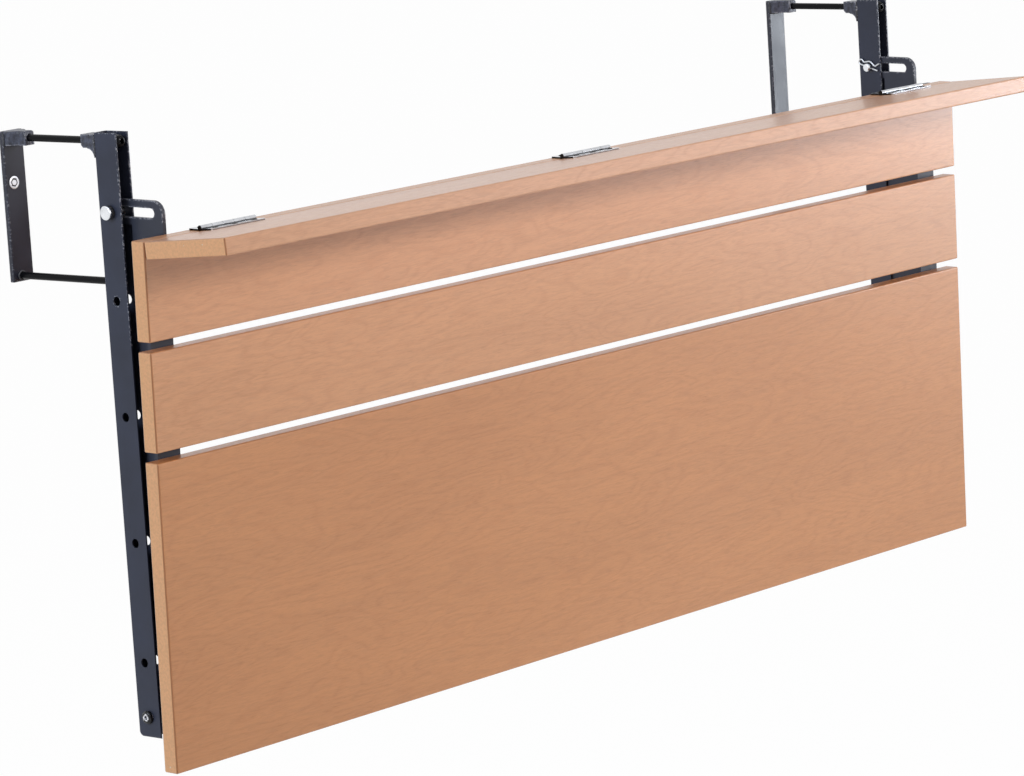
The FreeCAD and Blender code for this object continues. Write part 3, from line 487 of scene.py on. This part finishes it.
for part in frame["record"]["subparts"]:
    node = NODES[part["node"]]
    finish = boards.get(part["node"]) or SLOT_MATERIALS[part["material_slot"]]
    if part["node"].endswith(WELDED_BLOCKS):
        finish = rough_coat
    if part["node"].endswith(RAIL_PARTS):
        finish = rail_coat
    if part["node"].endswith("clamp_bar"):
        finish = bar_coat
    if part["node"].endswith("pin_clip"):
        finish = clip_wire
    if part["node"].endswith("foot_bolt"):
        finish = make_bolt(part["node"])
    node.data.materials.clear()
    node.data.materials.append(finish)


# Surfaces worked out as grids of points
SAME_POINT = 1e-6


def make_piece(name, grids, material, body, replaced=None):
    """One piece from grids of points. A grid's rows are rings, and its first and last rows are poles or
    meet."""
    points = []
    faces = []
    count = 0
    for grid in grids:
        rows, columns = grid.shape[:2]
        numbers = np.arange(rows * columns).reshape(rows, columns) + count
        beside = np.roll(numbers, -1, axis=1)
        around = np.stack([numbers[:-1], beside[:-1], beside[1:], numbers[1:]], axis=-1)
        faces.append(around.reshape(-1, 4))
        points.append(grid.reshape(-1, 3))
        count += rows * columns
    mesh = bpy.data.meshes.new(name)
    mesh.from_pydata(np.concatenate(points).tolist(), [], np.concatenate(faces).tolist())
    shell = bmesh.new()
    shell.from_mesh(mesh)
    bmesh.ops.remove_doubles(shell, verts=shell.verts, dist=SAME_POINT)
    bmesh.ops.recalc_face_normals(shell, faces=shell.faces)
    shell.to_mesh(mesh)
    shell.free()
    mesh.polygons.foreach_set("use_smooth", np.ones(len(mesh.polygons), dtype=bool))
    mesh.materials.append(material)
    piece = bpy.data.objects.new(name, mesh)
    scene.collection.objects.link(piece)
    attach(piece, body)
    if replaced:
        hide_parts(replaced)


BEAD_STEPS = 16
RING = np.linspace(0, 2 * math.pi, BEAD_STEPS, endpoint=False)
RIPPLE_STEP = 1.5 * MM
RIPPLE = 0.10
SWELL_STEP = 3.7 * RIPPLE_STEP
SWELL = 0.06


def weld_bead(path, radius, closed=False):
    """A weld: rings around a path. Their width is the radius times one plus two sines of the length
    run, a ripple and a slower swell. An open weld's ends are rounded by the root of one minus the
    fourth power of the place along."""
    path = np.asarray(path)
    if closed:
        ahead = np.roll(path, -1, axis=0) - np.roll(path, 1, axis=0)
    else:
        ahead = np.gradient(path, axis=0)
    ahead = ahead / np.linalg.norm(ahead, axis=1, keepdims=True)
    side = np.cross(ahead, NORTH)
    side = side / np.linalg.norm(side, axis=1, keepdims=True)
    up = np.cross(side, ahead)
    gone = np.linalg.norm(np.diff(path, axis=0), axis=1)
    run = np.concatenate([[0], np.cumsum(gone)])
    ripple = RIPPLE * np.sin(2 * math.pi * run / RIPPLE_STEP)
    swell = SWELL * np.sin(2 * math.pi * run / SWELL_STEP)
    width = radius * (1 + ripple + swell)
    if not closed:
        along = np.linspace(-1, 1, len(path))
        width = width * np.sqrt(np.maximum(1 - along ** 4, 0))
    circle = np.cos(RING)[None, :, None] * side[:, None, :]
    circle = circle + np.sin(RING)[None, :, None] * up[:, None, :]
    rings = path[:, None, :] + width[:, None, None] * circle
    if closed:
        rings = np.concatenate([rings, rings[:1]])
    return rings


WELD_SPACING = 0.25 * MM


def run_between(start, end):
    """Evenly spaced points on a straight line, both ends among them."""
    start = np.array(start)
    end = np.array(end)
    count = max(int(np.linalg.norm(end - start) / WELD_SPACING), 4)
    return start + np.linspace(0, 1, count)[:, None] * (end - start)


def ring_around(centre, radius, count=96):
    """Points on a circle around the Y direction."""
    angle = np.linspace(0, 2 * math.pi, count, endpoint=False)
    return np.array(centre) + radius * np.stack([np.cos(angle), 0 * angle, np.sin(angle)], axis=-1)


# Welds: around the screw block, at the guide rod's foot, and along the boss and its gusset
BEAD = 1.3 * MM
LOWER_BEAD = 1.5 * MM
GUIDE_BEAD = 1.0 * MM
GUIDE_BEAD_OUT = 0.5 * MM
BLOCK_SUNK = 0.2 * MM
GUIDE_SUNK = 0.3 * MM
BOSS_SUNK = 0.3 * MM
BLOCK_HALF = 11.6 * MM
BLOCK_LOW = 56.4 * MM
BLOCK_HIGH = 68.2 * MM
BOSS_HALF = 7.5 * MM
BOSS_LOW = 49.4 * MM
BOSS_HIGH = 68.2 * MM
GUIDE_X = 563.2 * MM
GUIDE_Z = -63 * MM
GUIDE_RADIUS = 3.3 * MM
for name, side in SIDES.items():
    middle = side * BRACKET_X
    face = BAR_FRONT_Y - BLOCK_SUNK
    west_low = (middle - BLOCK_HALF, face, BLOCK_LOW)
    west_high = (middle - BLOCK_HALF, face, BLOCK_HIGH)
    east_low = (middle + BLOCK_HALF, face, BLOCK_LOW)
    east_high = (middle + BLOCK_HALF, face, BLOCK_HIGH)
    block_welds = [
        weld_bead(run_between(west_low, west_high), BEAD),
        weld_bead(run_between(east_low, east_high), BEAD),
        weld_bead(run_between(west_low, east_low), LOWER_BEAD),
    ]
    make_piece(name + "_block_welds", block_welds, weld_metal, name + "_clamp")
    foot_centre = (side * GUIDE_X, BAR_FRONT_Y - GUIDE_SUNK, GUIDE_Z)
    foot = ring_around(foot_centre, GUIDE_RADIUS + GUIDE_BEAD_OUT)
    make_piece(name + "_guide_weld", [weld_bead(foot, GUIDE_BEAD, closed=True)], weld_metal,
               name + "_clamp")
    boss_welds = [
        weld_bead(run_between((middle + sign * BOSS_HALF, -BOSS_SUNK, BOSS_LOW),
                              (middle + sign * BOSS_HALF, -BOSS_SUNK, BOSS_HIGH)), BEAD)
        for sign in (-1, 1)
    ]
    make_piece(name + "_boss_welds", boss_welds, weld_metal, "brackets")


# Screws: round heads with a recess, one turned shell each. Keys take shares of the head's radius
HEXAGON_TURNS = (0, math.pi / 3, -math.pi / 3)
ROUND_STEPS = 48
CROSS_WIDTH = 0.17
CROSS_WIDTH_FADE = 0.07
CROSS_REACH = 0.62
CROSS_REACH_FADE = 0.12
BAND_OUTER = 0.60
BAND_INNER = 0.38
BAND_FADE = 0.05


def cross_key(across, depth):
    """1 where the nearer of |x| and |y| is small and the farther one isn't large, 0 elsewhere."""
    narrow = np.minimum(np.abs(across), np.abs(depth))
    far = np.maximum(np.abs(across), np.abs(depth))
    in_width = np.clip((CROSS_WIDTH - narrow) / CROSS_WIDTH_FADE, 0, 1)
    in_reach = np.clip((CROSS_REACH - far) / CROSS_REACH_FADE, 0, 1)
    return in_width * in_reach


def hexagon_key(across, depth):
    """1 in a band between two hexagons, 0 elsewhere. The size is the largest of the distances along
    three directions."""
    thirds = [np.abs(across * math.cos(turned) + depth * math.sin(turned)) for turned in HEXAGON_TURNS]
    size = np.max(thirds, axis=0)
    within = np.clip((BAND_OUTER - size) / BAND_FADE, 0, 1)
    beyond = np.clip((size - BAND_INNER) / BAND_FADE, 0, 1)
    return within * beyond


def screw_shell(head_radius, crown, shank_radius, length, recess, key=cross_key, rings=22, flatness=4):
    """A screw standing on Z = 0. Over the head the height is the crown times one minus the share of the
    radius to the power of the flatness, less the recess where the key says 1. Under it is a shank."""
    angle = np.linspace(0, 2 * math.pi, ROUND_STEPS, endpoint=False)
    share = np.linspace(0, 1, rings)[:, None]
    across = head_radius * share * np.cos(angle)
    depth = head_radius * share * np.sin(angle)
    cut = recess * key(share * np.cos(angle), share * np.sin(angle))
    height = crown * (1 - share ** flatness) - cut
    top = np.stack([across, depth, height], axis=-1)
    under = []
    for radius, level in ((shank_radius, 0.0), (shank_radius, -length), (0.0, -length)):
        flat = np.full_like(angle, level)
        ring = np.stack([radius * np.cos(angle), radius * np.sin(angle), flat], axis=-1)
        under.append(ring[None])
    return np.concatenate([top, *under])


def stood(shell, spot, outward, spin):
    """The shell with its own Z along outward, turned by spin from east, standing at a spot."""
    outward = np.array(outward) / np.linalg.norm(outward)
    across = np.array(EAST)
    beside = np.cross(outward, across)
    first = math.cos(spin) * across + math.sin(spin) * beside
    second = np.cross(outward, first)
    level = np.array(spot) + shell[..., :1] * first + shell[..., 1:2] * second
    return level + shell[..., 2:] * outward


# Hinge screws: three in each leaf, each head turned differently, in radians
LEAF_SPIN = 0.5
LEAF_SPIN_PER_HINGE = 1.7
LEAF_SPIN_PER_SCREW = 2.3
leaf_screw = screw_shell(head_radius=3.3 * MM, crown=0.9 * MM, shank_radius=1.2 * MM, length=9 * MM,
                         recess=0.8 * MM)
for name, direction, angle, body in (("slat_hinge_screw_set", 1, TABLE_LEAN, "table"),
                                     ("shelf_hinge_screw_set", -1, TABLE_LEAN - SHELF_RISE, "shelf")):
    outward = np.array([0, -math.sin(angle), math.cos(angle)])
    along_leaf = np.array([0, math.cos(angle), math.sin(angle)])
    shells = []
    for number, middle in enumerate(HINGE_MIDDLES):
        for step in (-1, 0, 1):
            spot = HINGE_AXIS + np.array([middle + step * HINGE_SCREW_STEP, 0, 0])
            spot = spot + direction * HINGE_SCREW_OUT * along_leaf + LEAF_TOP * outward
            spin = LEAF_SPIN + LEAF_SPIN_PER_HINGE * number + LEAF_SPIN_PER_SCREW * step
            shells.append(stood(leaf_screw, spot, outward, spin))
    replaced = "slat_hinge_screws" if direction > 0 else "shelf_hinge_screws"
    make_piece(name, shells, dark_screw, body, replaced)


# Rail screws: through the angle rails into the boards, two in each board, each head turned differently
RAIL_SCREW_X = 573 * MM
RAIL_BACK_DEPTH = -52 * MM
RAIL_SCREW_HEIGHTS_MM = (-38, -88, -137, -187, -236, -453)
RAIL_SPIN = 0.4
RAIL_SPIN_PER_SCREW = 1.3
rail_screw = screw_shell(head_radius=4.4 * MM, crown=2.3 * MM, shank_radius=1.9 * MM, length=14 * MM,
                         recess=1.5 * MM)
outward = np.array([0, math.cos(TABLE_LEAN), math.sin(TABLE_LEAN)])
upward = np.array([0, -math.sin(TABLE_LEAN), math.cos(TABLE_LEAN)])
for name, side in SIDES.items():
    shells = []
    for number, height in enumerate(RAIL_SCREW_HEIGHTS_MM):
        spot = np.array([side * RAIL_SCREW_X, PIN_Y, 0]) + RAIL_BACK_DEPTH * outward
        spot = spot + height * MM * upward
        shells.append(stood(rail_screw, spot, outward, RAIL_SPIN + RAIL_SPIN_PER_SCREW * number))
    make_piece(name + "_rail_screw_set", shells, dark_screw, "table",
               name + "_rail_screws")


# Jaw screw: a flat bright disc with a hexagonal groove
JAW_SPIN = 0.3
jaw_low, jaw_high = (np.array(corner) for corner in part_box("left_jaw_screw"))
jaw_spot = (jaw_low + jaw_high) / 2
jaw_spot[1] = BAR_FRONT_Y
jaw_screw = screw_shell(head_radius=6.25 * MM, crown=0.8 * MM, shank_radius=2.9 * MM, length=4.9 * MM,
                        recess=0.7 * MM, key=hexagon_key, rings=48, flatness=14)
jaw_shell = stood(jaw_screw, jaw_spot, (0, -1, 0), JAW_SPIN)
make_piece("left_jaw_screw_face", [jaw_shell], disc_zinc, "left_clamp", "left_jaw_screw")


# Floor and backdrop: a wide white plane well under the table
FLOOR_DROP = 1.05
FLOOR_HALF = 45
SHADOW_SHARE = 0.02
FLOOR_GREY = (0.8, 0.8, 0.8, 1)
FLOOR_ROUGHNESS = 0.9
floor_mesh = bpy.data.meshes.new("floor")
quarters = ((-1, -1), (1, -1), (1, 1), (-1, 1))
corners = [(FLOOR_HALF * x, FLOOR_HALF * y, -FLOOR_DROP) for x, y in quarters]
floor_mesh.from_pydata(corners, [], [(0, 1, 2, 3)])
floor = bpy.data.objects.new("floor", floor_mesh)
scene.collection.objects.link(floor)


def seen_directly(tree):
    """1 for rays from the camera and for mirrored and clear-through ones."""
    path = tree.nodes.new("ShaderNodeLightPath")
    either = calc(tree, "MAXIMUM", path.outputs["Is Camera Ray"], path.outputs["Is Glossy Ray"])
    return calc(tree, "MAXIMUM", either, path.outputs["Is Transmission Ray"])


def make_floor():
    """A pale floor that is white to the camera, apart from a small share that keeps the shadow."""
    material, tree, shader = new_material("white floor")
    shader.inputs["Base Color"].default_value = FLOOR_GREY
    shader.inputs["Roughness"].default_value = FLOOR_ROUGHNESS
    white = tree.nodes.new("ShaderNodeEmission")
    blend = tree.nodes.new("ShaderNodeMixShader")
    feed(tree, blend.inputs["Fac"], calc(tree, "MULTIPLY", seen_directly(tree), 1 - SHADOW_SHARE))
    tree.links.new(shader.outputs[0], blend.inputs[1])
    tree.links.new(white.outputs[0], blend.inputs[2])
    tree.links.new(blend.outputs[0], tree.nodes["Material Output"].inputs["Surface"])
    return material


floor.data.materials.append(make_floor())

# World and lamps: plain soft studio light, warmer from front and back, cooler from sides and above
AMBIENT = (0.92, 0.95, 1.0)
AMBIENT_STRENGTH = 0.25
world = bpy.data.worlds.new("studio")
scene.world = world
world.use_nodes = True
world_tree = world.node_tree
background = world_tree.nodes["Background"]
white = world_tree.nodes.new("ShaderNodeBackground")
white.inputs["Color"].default_value = (1, 1, 1, 1)
choose = world_tree.nodes.new("ShaderNodeMixShader")
background.inputs["Color"].default_value = (*AMBIENT, 1)
background.inputs["Strength"].default_value = AMBIENT_STRENGTH
feed(world_tree, choose.inputs["Fac"], seen_directly(world_tree))
world_tree.links.new(background.outputs[0], choose.inputs[1])
world_tree.links.new(white.outputs[0], choose.inputs[2])
world_tree.links.new(choose.outputs[0], world_tree.nodes["World Output"].inputs["Surface"])


def lamp(name, place, aim, size, power, colour):
    """A flat soft lamp at a place, facing what it aims at, with its power in watts."""
    data = bpy.data.lights.new(name, "AREA")
    data.shape = "RECTANGLE"
    data.size, data.size_y = size
    data.energy = power
    data.color = colour
    item = bpy.data.objects.new(name, data)
    item.location = place
    item.rotation_euler = (Vector(aim) - Vector(place)).to_track_quat("-Z", "Y").to_euler()
    scene.collection.objects.link(item)


lamp("right window", (3.1, -1.5, 0.0), (0.6, 0, 0), (0.8, 1.0), 38, (0.84, 0.91, 1.0))
lamp("front cloth", (0.3, -2.8, 0.90), (0, 0, -0.2), (1.2, 0.6), 37, (1, 0.97, 0.95))
lamp("top cloth", (0, -0.5, 2.6), (0, 0, 0), (2.6, 1.2), 10, (0.74, 0.79, 1.0))
lamp("left window", (-3.2, 0.4, 1.0), (-0.5, 0, -0.1), (1.4, 1.4), 42, (0.74, 0.84, 1.0))
lamp("back cloth", (0.4, 3.0, 0.9), (0, 0, -0.2), (1.6, 1.0), 8, (1, 0.98, 0.96))
